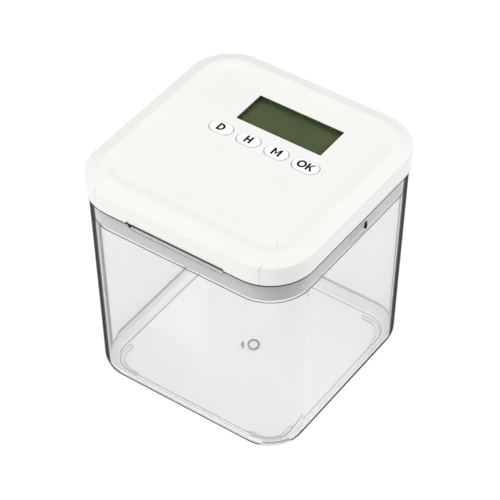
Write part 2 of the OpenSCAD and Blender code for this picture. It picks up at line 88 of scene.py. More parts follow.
make_camera()
scene.view_settings.view_transform = "Standard"


# ---------------------------------------------------------------- mesh helpers
def link(name, mesh):
    o = bpy.data.objects.new(name, mesh)
    scene.collection.objects.link(o)
    return o


def from_bm(name, bm):
    bmesh.ops.recalc_face_normals(bm, faces=bm.faces)
    mesh = bpy.data.meshes.new(name)
    bm.to_mesh(mesh)
    bm.free()
    return link(name, mesh)


def ring(r, nc, ne=1):
    """A rounded square seen from above, corner centres at CC."""
    pts = []
    for q, (sx, sy) in enumerate(((1, 1), (-1, 1), (-1, -1), (1, -1))):
        for i in range(nc + 1):
            a = math.radians(90 * q + 90 * i / nc)
            pts.append((sx * CC + r * math.cos(a), sy * CC + r * math.sin(a)))
        for i in range(1, ne):
            a = math.radians(90 * q + 90)
            nx, ny = ((-1, 1), (-1, -1), (1, -1), (1, 1))[q]
            p = Vector((sx * CC + r * math.cos(a), sy * CC + r * math.sin(a)))
            t = Vector((nx * CC + r * math.cos(a), ny * CC + r * math.sin(a)))
            pts.append(tuple(p.lerp(t, i / ne)))
    return pts


def loft(bm, rings, close=True):
    """Walls between rings of (points, z) in millimetres, with a flat cap at each end."""
    rows = [[bm.verts.new((x * MM, y * MM, z * MM)) for x, y in pts] for pts, z in rings]
    n = len(rows[0])
    for a, b in zip(rows, rows[1:]):
        for i in range(n):
            j = (i + 1) % n
            bm.faces.new((a[i], a[j], b[j], b[i]))
    if close:
        bm.faces.new(rows[0][::-1])
        bm.faces.new(rows[-1])
    return rows


def rounded(profile, radii, steps=6):
    """The profile with each inner corner turned into an arc of that radius."""
    out = [profile[0]]
    for i in range(1, len(profile) - 1):
        p, a, b = Vector(profile[i]), Vector(profile[i - 1]), Vector(profile[i + 1])
        r = radii.get(i, 0) if isinstance(radii, dict) else radii
        u, v = (a - p).normalized(), (b - p).normalized()
        half = math.acos(max(-1, min(1, u.dot(v)))) / 2
        if r <= 0 or half > math.radians(89.5):
            out.append(tuple(p))
            continue
        t = min(r / math.tan(half), (a - p).length * 0.49, (b - p).length * 0.49)
        r = t * math.tan(half)
        c = p + (u + v).normalized() * (r / math.sin(half))
        s, e = p + u * t - c, p + v * t - c
        turn = s.angle_signed(e)
        for k in range(steps + 1):
            w = turn * k / steps
            cw, sw = math.cos(-w), math.sin(-w)
            out.append((c.x + s.x * cw - s.y * sw, c.y + s.x * sw + s.y * cw))
    out.append(profile[-1])
    return out


def arc(cx, cy, r, a, b, n):
    return [(cx + r * math.cos(math.radians(a + (b - a) * i / n)),
             cy + r * math.sin(math.radians(a + (b - a) * i / n))) for i in range(n + 1)]


def prism(name, pts, axis, lo, hi):
    """A straight prism of the outline pts. axis z: pts are (x, y); axis y: (x, z); axis x: (y, z)."""
    place = {"z": lambda p, h: (p[0], p[1], h), "y": lambda p, h: (p[0], h, p[1]), "x": lambda p, h: (h, p[0], p[1])}[axis]
    bm = bmesh.new()
    a = [bm.verts.new(Vector(place(p, lo)) * MM) for p in pts]
    b = [bm.verts.new(Vector(place(p, hi)) * MM) for p in pts]
    n = len(pts)
    for i in range(n):
        bm.faces.new((a[i], a[(i + 1) % n], b[(i + 1) % n], b[i]))
    bm.faces.new(a[::-1])
    bm.faces.new(b)
    return from_bm(name, bm)


def box_pts(x0, x1, y0, y1, r=0, n=6):
    if r <= 0:
        return [(x0, y0), (x1, y0), (x1, y1), (x0, y1)]
    return (arc(x1 - r, y0 + r, r, -90, 0, n) + arc(x1 - r, y1 - r, r, 0, 90, n)
            + arc(x0 + r, y1 - r, r, 90, 180, n) + arc(x0 + r, y0 + r, r, 180, 270, n))


def stadium(cx, cy, l, w, n=24):
    return arc(cx + (l - w) / 2, cy, w / 2, -90, 90, n) + arc(cx - (l - w) / 2, cy, w / 2, 90, 270, n)


def bake(o):
    """Turns what the modifiers make into the object's own mesh."""
    dg = bpy.context.evaluated_depsgraph_get()
    dg.update()
    mesh = bpy.data.meshes.new_from_object(o.evaluated_get(dg))
    o.modifiers.clear()
    old = o.data
    o.data = mesh
    bpy.data.meshes.remove(old)
    mesh.name = o.name
    return o


def boolean(o, cutters, how="DIFFERENCE"):
    for c in cutters:
        m = o.modifiers.new("cut", "BOOLEAN")
        m.operation, m.object, m.solver = how, c, "EXACT"
        bake(o)
        bpy.data.objects.remove(c)
    return o


def tidy(o, sharp=30, merge=0.004):
    """Joins near points, smooths all but the sharp edges, and keeps the flats flat."""
    bm = bmesh.new()
    bm.from_mesh(o.data)
    bmesh.ops.remove_doubles(bm, verts=bm.verts, dist=merge * MM)
    bmesh.ops.dissolve_degenerate(bm, dist=merge * MM, edges=bm.edges)
    for f in bm.faces:
        f.smooth = True
    for e in bm.edges:
        e.smooth = not (len(e.link_faces) == 2 and e.calc_face_angle(0) > math.radians(sharp))
    bm.to_mesh(o.data)
    bm.free()
    m = o.modifiers.new("even", "WEIGHTED_NORMAL")
    m.mode, m.weight, m.keep_sharp = "FACE_AREA", 60, True
    return o


def soften(o, width, near, sharp=50, segments=2):
    """Rounds the sharp edges whose middle passes near(x, y, z), in millimetres."""
    bm = bmesh.new()
    bm.from_mesh(o.data)
    bmesh.ops.remove_doubles(bm, verts=bm.verts, dist=0.004 * MM)
    bmesh.ops.dissolve_degenerate(bm, dist=0.004 * MM, edges=bm.edges)
    layer = bm.edges.layers.float.get("bevel_weight_edge") or bm.edges.layers.float.new("bevel_weight_edge")
    for e in bm.edges:
        c = (e.verts[0].co + e.verts[1].co) / 2 / MM
        e[layer] = 1.0 if len(e.link_faces) == 2 and e.calc_face_angle(0) > math.radians(sharp) and near(*c) else 0.0
    bm.to_mesh(o.data)
    bm.free()
    m = o.modifiers.new("soft", "BEVEL")
    m.limit_method, m.width, m.segments, m.use_clamp_overlap = "WEIGHT", width * MM, segments, False
    m.offset_type = "OFFSET"
    return bake(o)


def join(name, *objs):
    bm = bmesh.new()
    for o in objs:
        bm.from_mesh(o.data)
    mesh = bpy.data.meshes.new(name)
    bm.to_mesh(mesh)
    bm.free()
    for o in objs:
        bpy.data.objects.remove(o)
    return link(name, mesh)


def lathe(name, profile, cx, cy, n=64):
    bm = bmesh.new()
    rows = []
    for i in range(n):
        a = 2 * math.pi * i / n
        rows.append([bm.verts.new(((cx + r * math.cos(a)) * MM, (cy + r * math.sin(a)) * MM, z * MM)) for r, z in profile])
    k = len(profile)
    for i in range(n):
        a, b = rows[i], rows[(i + 1) % n]
        for j in range(k):
            bm.faces.new((a[j], b[j], b[(j + 1) % k], a[(j + 1) % k]))
    return from_bm(name, bm)


# ---------------------------------------------------------------- materials
def tree(name):
    m = bpy.data.materials.new(name)
    m.use_nodes = True
    nt = m.node_tree
    nt.nodes.clear()
    out = nt.nodes.new("ShaderNodeOutputMaterial")
    return m, nt, out


def node(nt, kind, **values):
    n = nt.nodes.new(kind)
    for k, v in values.items():
        if hasattr(n, k):
            setattr(n, k, v)
        else:
            n.inputs[k.replace("_", " ")].default_value = v
    return n


def plastic(name, colour, rough=0.4, grain=0.33, depth=0.006, vary=0.03, specular=0.5, coat=0.0, coat_rough=0.2,
            subsurface=0.0, metallic=0.0, mottled=0.0, flow=None):
    """Moulded surface: fine grain in the bump, a slow drift in colour and roughness. grain and depth in millimetres."""
    m, nt, out = tree(name)
    p = node(nt, "ShaderNodeBsdfPrincipled")
    nt.links.new(p.outputs[0], out.inputs[0])
    p.inputs["Specular IOR Level"].default_value = specular
    p.inputs["Metallic"].default_value = metallic
    if coat:
        p.inputs["Coat Weight"].default_value = coat
        p.inputs["Coat Roughness"].default_value = coat_rough
    if subsurface:
        p.inputs["Subsurface Weight"].default_value = subsurface
        p.inputs["Subsurface Radius"].default_value = (0.002, 0.002, 0.0018)
        p.inputs["Subsurface Scale"].default_value = 1.0
    tc = node(nt, "ShaderNodeTexCoord")
    src = tc.outputs["Object"]
    if flow:
        mp = node(nt, "ShaderNodeMapping")
        mp.inputs["Scale"].default_value = flow
        nt.links.new(src, mp.inputs[0])
        src = mp.outputs[0]
    fine = node(nt, "ShaderNodeTexNoise")
    fine.inputs["Scale"].default_value = 1 / (grain * MM)
    fine.inputs["Detail"].default_value = 3
    nt.links.new(src, fine.inputs["Vector"])
    slow = node(nt, "ShaderNodeTexNoise")
    slow.inputs["Scale"].default_value = 45
    slow.inputs["Detail"].default_value = 4
    nt.links.new(src, slow.inputs["Vector"])
    bump = node(nt, "ShaderNodeBump")
    bump.inputs["Strength"].default_value = 0.6
    bump.inputs["Distance"].default_value = depth * MM
    nt.links.new(fine.outputs["Fac"], bump.inputs["Height"])
    nt.links.new(bump.outputs[0], p.inputs["Normal"])
    ramp = node(nt, "ShaderNodeMix", data_type="RGBA")
    dark = tuple(c * (1 - vary) for c in colour)
    ramp.inputs[6].default_value = (*dark, 1)
    ramp.inputs[7].default_value = (*[min(1, c * (1 + vary * 0.4)) for c in colour], 1)
    nt.links.new(slow.outputs["Fac"], ramp.inputs[0])
    nt.links.new(ramp.outputs[2], p.inputs["Base Color"])
    rr = node(nt, "ShaderNodeMapRange")
    rr.inputs["To Min"].default_value = max(0.02, rough - 0.05)
    rr.inputs["To Max"].default_value = min(1, rough + 0.07 + mottled)
    nt.links.new(slow.outputs["Fac"], rr.inputs["Value"])
    nt.links.new(rr.outputs[0], p.inputs["Roughness"])
    return m


def clear(name, tint, rough=0.0, ior=1.49, through=0.985, smear=0.02, density=0.0, body=(0.8, 0.9, 0.85), edge=None,
          wall=1.0, specular=0.5, painted_tone=(0.02, 0.02, 0.02)):
    """Clear polished plastic. Lamps shine through it; faint wipe marks vary its gloss.
    edge = steps of (facing, share of the painted tone): how much of a flat painted tone is mixed over the front faces,
    by how nearly along its face a wall is seen; painted shade where the tone is dark, a painted highlight where it is
    light.
    wall = how much darker the tint of the standing walls is than that of the floor of the piece: painted shade."""
    m, nt, out = tree(name)
    p = node(nt, "ShaderNodeBsdfPrincipled")
    p.inputs["Base Color"].default_value = (*tint, 1)
    p.inputs["Specular IOR Level"].default_value = specular
    # painted shade: the tint darkens from 4 to 14 mm up, so the standing walls read darker than the floor
    if wall != 1.0:
        sx = node(nt, "ShaderNodeSeparateXYZ")
        zr = node(nt, "ShaderNodeMapRange")
        zr.inputs["From Min"].default_value, zr.inputs["From Max"].default_value = 0.004, 0.014
        both = node(nt, "ShaderNodeMix", data_type="RGBA")
        both.inputs[6].default_value = (*tint, 1)
        both.inputs[7].default_value = (*[c * wall for c in tint], 1)
        nt.links.new(zr.outputs[0], both.inputs[0])
        nt.links.new(both.outputs[2], p.inputs["Base Color"])
    p.inputs["Transmission Weight"].default_value = 1.0
    p.inputs["IOR"].default_value = ior
    tc = node(nt, "ShaderNodeTexCoord")
    if wall != 1.0:
        nt.links.new(tc.outputs["Object"], sx.inputs[0])
        nt.links.new(sx.outputs["Z"], zr.inputs["Value"])
    mp = node(nt, "ShaderNodeMapping")
    mp.inputs["Scale"].default_value = (1, 1, 0.35)
    nt.links.new(tc.outputs["Object"], mp.inputs[0])
    n = node(nt, "ShaderNodeTexNoise")
    n.inputs["Scale"].default_value = 38
    n.inputs["Detail"].default_value = 5
    nt.links.new(mp.outputs[0], n.inputs["Vector"])
    rr = node(nt, "ShaderNodeMapRange")
    rr.inputs["From Min"].default_value = 0.45
    rr.inputs["From Max"].default_value = 0.75
    rr.inputs["To Min"].default_value = rough
    rr.inputs["To Max"].default_value = rough + smear
    nt.links.new(n.outputs["Fac"], rr.inputs["Value"])
    nt.links.new(rr.outputs[0], p.inputs["Roughness"])
    body_out = p.outputs[0]
    if edge:
        lw = node(nt, "ShaderNodeLayerWeight")
        lw.inputs["Blend"].default_value = 0.5
        er = node(nt, "ShaderNodeValToRGB")
        e = er.color_ramp.elements
        e[0].position, e[0].color = edge[0][0], (edge[0][1],) * 3 + (1,)
        e[1].position, e[1].color = edge[-1][0], (edge[-1][1],) * 3 + (1,)
        for at, much in edge[1:-1]:
            k = e.new(at)
            k.color = (much, much, much, 1)
        nt.links.new(lw.outputs["Facing"], er.inputs[0])
        geo = node(nt, "ShaderNodeNewGeometry")
        front = node(nt, "ShaderNodeMath", operation="SUBTRACT")
        front.inputs[0].default_value = 1.0
        nt.links.new(geo.outputs["Backfacing"], front.inputs[1])
        fac = node(nt, "ShaderNodeMath", operation="MULTIPLY")
        nt.links.new(er.outputs[0], fac.inputs[0])
        nt.links.new(front.outputs[0], fac.inputs[1])
        # the painted tone: a flat diffuse mixed in by facing, painted shade when dark, a painted highlight when light
        dark = node(nt, "ShaderNodeBsdfDiffuse")
        dark.inputs[0].default_value = (*painted_tone, 1)
        em = node(nt, "ShaderNodeMixShader")
        nt.links.new(fac.outputs[0], em.inputs[0])
        nt.links.new(p.outputs[0], em.inputs[1])
        nt.links.new(dark.outputs[0], em.inputs[2])
        body_out = em.outputs[0]
    t = node(nt, "ShaderNodeBsdfTransparent")
    t.inputs[0].default_value = (through, through, through, 1)
    lp = node(nt, "ShaderNodeLightPath")
    mix = node(nt, "ShaderNodeMixShader")
    nt.links.new(lp.outputs["Is Shadow Ray"], mix.inputs[0])
    nt.links.new(body_out, mix.inputs[1])
    nt.links.new(t.outputs[0], mix.inputs[2])
    nt.links.new(mix.outputs[0], out.inputs[0])
    if density:
        v = node(nt, "ShaderNodeVolumeAbsorption")
        v.inputs["Color"].default_value = (*body, 1)
        v.inputs["Density"].default_value = density
        nt.links.new(v.outputs[0], out.inputs["Volume"])
    return m


M = {
    # painted shade: the tub mixes in a near-black diffuse where a wall is seen almost along its face, standing in for
    # dark refractions, and its walls get the darker painted tint
    "tub": clear("clear_tub", (0.97, 0.974, 0.967), ior=1.5, density=9.0, body=(0.55, 0.62, 0.58), smear=0.015,
                 edge=((0.66, 0.0), (0.71, 0.9), (0.82, 0.98), (0.90, 0.8), (0.96, 0.4)), wall=0.88),
    # painted light on the inner fillet: a share of near-black for painted dark lines, a share of white for a painted
    # highlight
    "tub_painted_line": clear("clear_tub_painted_line", (0.992, 0.995, 0.99), ior=1.5, smear=0.015, edge=((0.0, 0.55), (1.0, 0.55))),
    "tub_painted_highlight": clear("clear_tub_painted_highlight", (0.992, 0.995, 0.99), ior=1.5, smear=0.015, edge=((0.0, 0.65), (1.0, 0.65)), painted_tone=(0.97, 0.97, 0.965)),
    # painted shade: near-black on the sides of the foot ribs and grey in the moulding gate's ring, for the dark lines
    # the clear plastic shows there
    "painted_rib_shade": plastic("painted_rib_shade_black", (0.03, 0.03, 0.03), rough=0.6, grain=0.25, depth=0.02, vary=0.3, specular=0.3),
    "gate": plastic("painted_gate_shade", (0.36, 0.36, 0.355), rough=0.6, grain=0.25, depth=0.01, vary=0.2, specular=0.3),
    # painted glow: an opaque white on the notch ledge and the window sides, standing in for light carried in the clear
    # wall
    "ledge": plastic("satin_ledge", (0.9, 0.9, 0.895), rough=0.5, grain=0.4, depth=0.006),
    # painted shade: a near-black for the shadow in the seam under the lid and in the gaps round the keys
    "gap_shade": plastic("painted_gap_shade_grey", (0.03, 0.03, 0.031), rough=0.6, grain=0.3, depth=0.006, vary=0.1, specular=0.2),
    "lens": clear("clear_lens", (0.97, 0.98, 0.96), ior=1.1, smear=0.03, specular=0.2),
    "lid": plastic("lid_white", (0.825, 0.83, 0.805), rough=0.42, subsurface=0.0),
    "cover": plastic("cover_white", (0.825, 0.83, 0.805), rough=0.42),
    "plug": plastic("plug_white", (0.79, 0.79, 0.785), rough=0.45, grain=0.4, depth=0.008),
    "key": plastic("key_white", (0.9, 0.9, 0.895), rough=0.34, grain=0.25, depth=0.003, vary=0.01),
    "ink": plastic("legend_ink", (0.004, 0.004, 0.004), rough=0.6, grain=0.2, depth=0.002, vary=0.2, specular=0.1),
    "lcd": plastic("lcd_olive", (0.05, 0.066, 0.026), rough=0.45, grain=0.5, depth=0.001, vary=0.02, specular=0.1),
    "black": plastic("black_plastic", (0.022, 0.022, 0.023), rough=0.5, vary=0.2),
    "acetal": plastic("acetal", (0.74, 0.73, 0.68), rough=0.38, grain=0.5, depth=0.004),
    "silicone": plastic("silicone", (0.7, 0.71, 0.7), rough=0.6, grain=0.3, depth=0.01, subsurface=0.3),
    "steel": plastic("zinc_steel", (0.62, 0.63, 0.65), rough=0.32, grain=0.15, depth=0.004, vary=0.12, metallic=1.0, mottled=0.1),
    "nickel": plastic("nickel", (0.7, 0.69, 0.66), rough=0.25, grain=0.12, depth=0.002, vary=0.08, metallic=1.0, flow=(1, 1, 6)),
    "brass": plastic("brass", (0.74, 0.53, 0.2), rough=0.28, grain=0.12, depth=0.002, vary=0.1, metallic=1.0, flow=(1, 1, 5)),
    "pcb": plastic("solder_mask", (0.012, 0.12, 0.045), rough=0.3, grain=0.8, depth=0.01, vary=0.25, coat=0.5),
    "wrap": plastic("cell_wrap", (0.03, 0.036, 0.045), rough=0.3, grain=0.4, depth=0.004, vary=0.3, coat=0.6),
    "lead": plastic("lead_pvc", (0.45, 0.02, 0.02), rough=0.45, grain=0.3, depth=0.005, vary=0.15),
}
NODE_MAT = {
    "lid_base": "plug", "lid_screws": "steel", "lcd_lens": "lens", "lcd_panel": "lcd", "lcd_holder": "black",
    "main_pcb": "pcb", "pcb_screws": "steel", "pcb_components": "black", "tact_switches": "black",
    "piezo_buzzer": "black", "key_dome_days": "silicone", "key_dome_hours": "silicone",
    "key_dome_minutes": "silicone", "key_dome_ok": "silicone", "battery_tray": "plug",
    "battery_cell_left": "wrap", "battery_cell_right": "wrap", "battery_contact_plate": "nickel",
    "battery_spring": "nickel", "battery_leads": "lead", "motor_can": "nickel", "motor_bracket": "steel",
    "motor_bracket_screws": "steel", "motor_leads": "lead", "drive_axle": "steel", "idler_axle": "steel",
    "gear_plate": "plug", "gear_plate_screws": "steel", "bolt_guide_right": "plug", "bolt_guide_left": "plug",
    "bolt_guide_screws": "steel", "lock_bolt_right": "acetal", "lock_bolt_left": "acetal", "drive_gear": "acetal",
    "idler_gear": "acetal", "motor_pinion": "brass", "motor_shaft": "steel",
    "container_body": "tub", "lid_top_cover": "lid", "battery_cover": "cover",
    "key_days": "key", "key_hours": "key", "key_minutes": "key", "key_ok": "key",
}
for name, key in NODE_MAT.items():
    o = nodes[name]
    if not o.data.materials:
        o.data.materials.append(M[key])
    for i in range(len(o.data.materials)):
        o.data.materials[i] = M[key]


lens = nodes["lcd_lens"].data
lens.materials.append(M["lcd"])
for p in lens.polygons:
    p.material_index = 1 if abs(p.normal.z) < 0.5 else 0


def paint(o, key):
    o.data.materials.clear()
    o.data.materials.append(M[key])
    for p in o.data.polygons:
        p.material_index = 0


# ---------------------------------------------------------------- the clear tub
def r_out(z):
    return RB + (RT - RB) * (z - Z0) / (RIM - Z0)


def make_tub():
    base_r, inner_r, floor = 10.0, 7.0, 4.5
    inner = arc(r_out(floor + inner_r) - 3 - inner_r, floor + inner_r, inner_r, -90, 0, 14)
    zl, zu = S - 16.0, S - 15.4
    inner += rounded([(inner[-1][0] + 0.0001, inner[-1][1] + 0.001), (r_out(zl) - 3, zl), (r_out(zu) - 2, zu), (r_out(RIM) - 2, RIM)],
                     {1: 0.5, 2: 0.5}, 4)[1:-1]
    rim = arc(r_out(RIM) - 2 + 0.35, RIM - 0.35, 0.35, 180, 90, 4) + arc(r_out(RIM) - 0.45, RIM - 0.45, 0.45, 90, 0, 5)
    outer = arc(r_out(Z0 + base_r) - base_r, Z0 + base_r, base_r, 0, -90, 14)
    profile = inner + rim + outer
    bm = bmesh.new()
    loft(bm, [(ring(r, 32), z) for r, z in profile])
    tub = from_bm("tub_clear", bm)
    # feet
    feet = []
    for q in range(4):
        path = [(FOOT_R, -4.0), (FOOT_R, -2.0)] + arc(0, 0, FOOT_R, 0, 90, 24) + [(-2.0, FOOT_R), (-4.0, FOOT_R)]
        w = 1.2
        left, right = [], []
        for i, p in enumerate(path):
            a, b = Vector(path[max(0, i - 1)]), Vector(path[min(len(path) - 1, i + 1)])
            d = (b - a).normalized()
            n = Vector((-d.y, d.x))
            left.append(Vector(p) + n * w)
            right.append(Vector(p) - n * w)
        end1 = [Vector((FOOT_R, -4.0)) + Vector((math.cos(math.radians(a)), math.sin(math.radians(a)))) * w for a in range(-22, -180, -22)]
        end2 = [Vector((-4.0, FOOT_R)) + Vector((math.cos(math.radians(a)), math.sin(math.radians(a)))) * w for a in range(112, 270, 22)]
        # outline counter-clockwise: along the outer side, round the far end, back along the inner side, round the near end
        outline = right + [v for v in reversed(end2)][::-1] + left[::-1] + end1[::-1]
        base = []
        for v in outline:
            ang = math.radians(90 * q)
            x, y = v.x * math.cos(ang) - v.y * math.sin(ang), v.x * math.sin(ang) + v.y * math.cos(ang)
            cx, cy = ((1, 1), (-1, 1), (-1, -1), (1, -1))[q]
            base.append((x + cx * CC, y + cy * CC))
        bm = bmesh.new()
        mid = [(sum(p[0] for p in base) / len(base), sum(p[1] for p in base) / len(base))]
        n = len(base)

        def shrunk(d):
            out = []
            for i in range(n):
                a, b = Vector(base[i - 1]), Vector(base[(i + 1) % n])
                t = (b - a).normalized()
                out.append((base[i][0] - t.y * d, base[i][1] + t.x * d))
            return out
        loft(bm, [(shrunk(0.45), 0.0), (shrunk(0.2), 0.07), (shrunk(0.06), 0.22), (shrunk(0.0), 0.45), (shrunk(0.0), 1.6)])
        feet.append(from_bm("foot", bm))
    boolean(tub, feet, "UNION")
    # finger notch, bolt windows, moulding gate
    x0, x1 = COVER_CX - 33.2, COVER_CX + 33.2
    notch = prism("notch", arc(x1 - 3.6, S - 4.3 + 3.6, 3.6, -90, 0, 10) + [(x1, S + 6), (x0, S + 6)]
                  + arc(x0 + 3.6, S - 4.3 + 3.6, 3.6, 180, 270, 10), "y", -78, -70.6)
    wins = [prism("win", box_pts(s * 2 - 8, s * 2 + 8, S - 11.8, S - 5.8, 1, 5), "x", min(s * 70.4, s * 78), max(s * 70.4, s * 78))
            for s in (1, -1)]
    gate = lathe("gate", [(3.2, 0.5), (4.75, 0.5), (4.75, 1.35), (4.5, 1.6), (3.45, 1.6), (3.2, 1.35)], 0, 0, 48)
    boolean(tub, [notch, *wins, gate])

    def near(x, y, z):
        if z > S - 0.6 and not (x0 - 1 < x < x1 + 1 and y < -70):
            return False
        return (y < -70 and x0 - 1 < x < x1 + 1 and z > S - 5) or (abs(x) > 70 and abs(y) < 12 and S - 13 < z < S - 5)
    soften(tub, 0.25, near, sharp=55)
    tidy(tub, 28)
    paint(tub, "tub")
    tub.data.materials.append(M["ledge"])
    tub.data.materials.append(M["painted_rib_shade"])
    tub.data.materials.append(M["tub_painted_line"])
    tub.data.materials.append(M["tub_painted_highlight"])
    tub.data.materials.append(M["gate"])
    for p in tub.data.polygons:
        c, n = p.center / MM, p.normal
        # painted glow on the notch ledge and the window sides
        in_notch = c.y < -70 and x0 < c.x < x1 and S - 4.6 < c.z < S - 1 and n.z > 0.8 and abs(n.y) < 0.3
        in_window = abs(c.x) > 70.6 and abs(c.y) < 8.2 and S - 12.1 < c.z < S - 5.6 and abs(n.x) < 0.3
        if in_notch or in_window:
            p.material_index = 1
        # the fillet between floor and walls gets a painted highlight between two painted dark lines, standing in for
        # its refractions
        if floor < c.z < floor + inner_r and abs(c.z - S) > 20 and max(abs(c.x), abs(c.y)) < CC + r_out(c.z) - 2.5:
            turn = math.degrees(math.acos(max(-1, min(1, (floor + inner_r - c.z) / inner_r))))
            if turn < 88:
                p.material_index = 3 if turn < 9 or turn > 71 else 4 if 22 < turn < 65 else 0
        r = math.hypot(c.x, c.y)
        # painted shade: the gate ring's faces grey and the foot ribs' sides near black
        gate_painted_shade_mask = 3.1 < r < 4.9 and 0.6 < c.z < 1.65
        rib_painted_shade_mask = 0.05 < c.z < 0.98 and abs(n.z) < 0.35
        if gate_painted_shade_mask or rib_painted_shade_mask:
            p.material_index = 2 if rib_painted_shade_mask else 5
    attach(tub, "container")
    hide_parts("container_body")
    return tub


make_tub()


# ---------------------------------------------------------------- the lid's outer shell
def shell_profile():
    """Inner ceiling, down the inner wall, across the lower edge and up the outside to the dished top."""
    inner = [(LR - 17.8, DISH - 2.2), (LR - 12, CREST - 2.35), (LR - 9.6, CREST - 2.2), (LR - 2.2, BAND - 1.5), (LR - 2.2, 0.2)]
    inner = rounded(inner, {1: 3, 2: 3, 3: 1.2}, 5)
    lip = arc(LR - 2.2 + 0.2, 0.4, 0.2, 180, 270, 3) + arc(LR - 0.35, 0.2 + 0.35, 0.35, -90, 0, 5)
    outer = rounded([(LR, 0.55), (LR, BAND), (LR - 9.05, CREST), (LR - 10.4, CREST)], {1: 1.3, 2: 4.0}, 8)[1:]
    dish = [(LR - 10.4 - 7.4 * t / 12, DISH + (CREST - DISH) * (0.5 + 0.5 * math.cos(math.pi * t / 12))) for t in range(1, 13)]
    return inner[:-1] + lip + outer + dish


def shell(name):
    bm = bmesh.new()
    loft(bm, [(ring(r, 36), z + S) for r, z in shell_profile()])
    return from_bm(name, bm)


def cover_outline(g):
    w, y1 = COVER_HW + g, -COVER_Y + g
    return ([(COVER_CX - w, -90), (COVER_CX + w, -90)] + arc(COVER_CX + w - 6, y1 - 6, 6, 0, 90, 12)
            + arc(COVER_CX - w + 6, y1 - 6, 6, 90, 180, 12))


def make_top():
    top = shell("lid_top")
    cut = [prism("c", cover_outline(0.22), "z", S - 4, S + BAND + 0.6),
           prism("c", cover_outline(0.07), "z", S + 5, S + 26),
           prism("c", box_pts(LCD_C[0] - LCD_W / 2, LCD_C[0] + LCD_W / 2, LCD_C[1] - LCD_D / 2, LCD_C[1] + LCD_D / 2, 0.5, 4),
                 "z", S + 5, S + 25)]
    for _, x, l, w in KEYS:
        cut.append(prism("c", stadium(x, KEY_Y, l + 0.8, w + 0.8), "z", S + 5, S + 25))
    boolean(top, cut)
    soften(top, 0.12, lambda x, y, z: z > S + 13.5 and abs(x) < 45 and 0 < y < 48, sharp=60)
    posts = [prism("p", stadium(x, y, 7.0001, 7, 20), "z", S - 10.7, S + 12.6) for x, y in BOSSES]
    posts += [prism("p", stadium(x, y, 5.0001, 5, 14), "z", S + 6.8, S + 12.6) for x, y in POSTS]
    for p in posts:
        tidy(p, 30, 0.0001)
        bake(p)
    tidy(top, 28)
    bake(top)
    top = join("lid_top", top, *posts)
    for p in top.data.polygons:
        p.use_smooth = True
    sharpen(top, 30)
    paint(top, "lid")
    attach(top, "lid")
    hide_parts("lid_top_cover")
    return top


def sharpen(o, angle):
    """Marks sharp edges and lets big flats rule the shading."""
    bm = bmesh.new()
    bm.from_mesh(o.data)
    for f in bm.faces:
        f.smooth = True
    for e in bm.edges:
        e.smooth = not (len(e.link_faces) == 2 and e.calc_face_angle(0) > math.radians(angle))
    bm.to_mesh(o.data)
    bm.free()
    m = o.modifiers.new("even", "WEIGHTED_NORMAL")
    m.mode, m.weight, m.keep_sharp = "FACE_AREA", 60, True


def make_gap_shade():
    """Dark ring under the edge of the lid, outside the rim of the tub: painted shade for the shadow line at the seam.
    """
    prof = [(LR - 1.0, S - 0.85), (LR - 0.35, S - 0.85), (LR - 0.22, S - 0.72), (LR - 0.2, S + 0.3), (LR - 1.0, S + 0.3)]
    bm = bmesh.new()
    rows = loft(bm, [(ring(r, 36), z) for r, z in prof], close=False)
    n = len(rows[0])
    for i in range(n):
        j = (i + 1) % n
        bm.faces.new((rows[-1][i], rows[-1][j], rows[0][j], rows[0][i]))
    gap_shade = from_bm("lid_gap_shade", bm)
    x0, x1 = COVER_CX - 33.2, COVER_CX + 33.2
    boolean(gap_shade, [prism("c", box_pts(x0, x1, -80, -70), "z", S - 2, S + 2)])
    slim = prism("c", box_pts(x0 - 0.05, x1 + 0.05, -74.35, -73.4), "z", S - 0.7, S + 0.22)
    gap_shade = join("lid_gap_shade", gap_shade, slim)
    tidy(gap_shade, 40, 0.0001)
    paint(gap_shade, "gap_shade")
    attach(gap_shade, "lid")


def make_battery_cover():
    cover = shell("battery_door")
    boolean(cover, [prism("c", cover_outline(0), "z", S - 4, S + 26)], "INTERSECT")
    x0, x1 = COVER_CX - 33.2, COVER_CX + 33.2
    recess = prism("c", [(x0, S - 3), (x1, S - 3)] + arc(x1 - 1.4, S + 1, 1.4, 0, 90, 6) + arc(x0 + 1.4, S + 1, 1.4, 90, 180, 6),
                   "y", -84, -74)
    frame_cut = prism("c", [(x0 - 0.3, S - 3), (x1 + 0.3, S - 3)] + arc(x1 - 1.4, S + 1, 1.7, 0, 90, 6)
                      + arc(x0 + 1.4, S + 1, 1.7, 90, 180, 6), "y", -84, -73.5)
    core = prism("c", [(x0, S - 5), (x1, S - 5)] + arc(x1 - 1.4, S + 1, 1.4, 0, 90, 6) + arc(x0 + 1.4, S + 1, 1.4, 90, 180, 6),
                 "y", -88, -70)
    boolean(frame_cut, [core])
    boolean(cover, [recess, frame_cut])
    tidy(cover, 28)
    bake(cover)
    extra = []
    for x in (-36, 1.5, 39):
        extra.append(prism("t", box_pts(x - 5, x + 5, -56, -47, 1, 3), "z", S + 10.9, S + 12.3))
        extra.append(prism("t", box_pts(x - 5, x + 5, -56, -51.5, 0.4, 2), "z", S + 12.0, S + 12.8))
    for s in (-1, 1):
        x = COVER_CX + s * (COVER_HW - 0.6)
        extra.append(prism("t", box_pts(x - 0.5, x + 0.5, -66, -58), "z", S + 8.6, S + 13.2))
    cover = join("battery_door", cover, *extra)
    sharpen(cover, 28)
    paint(cover, "cover")
    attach(cover, "battery_cover")
    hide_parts("battery_cover")
    return cover


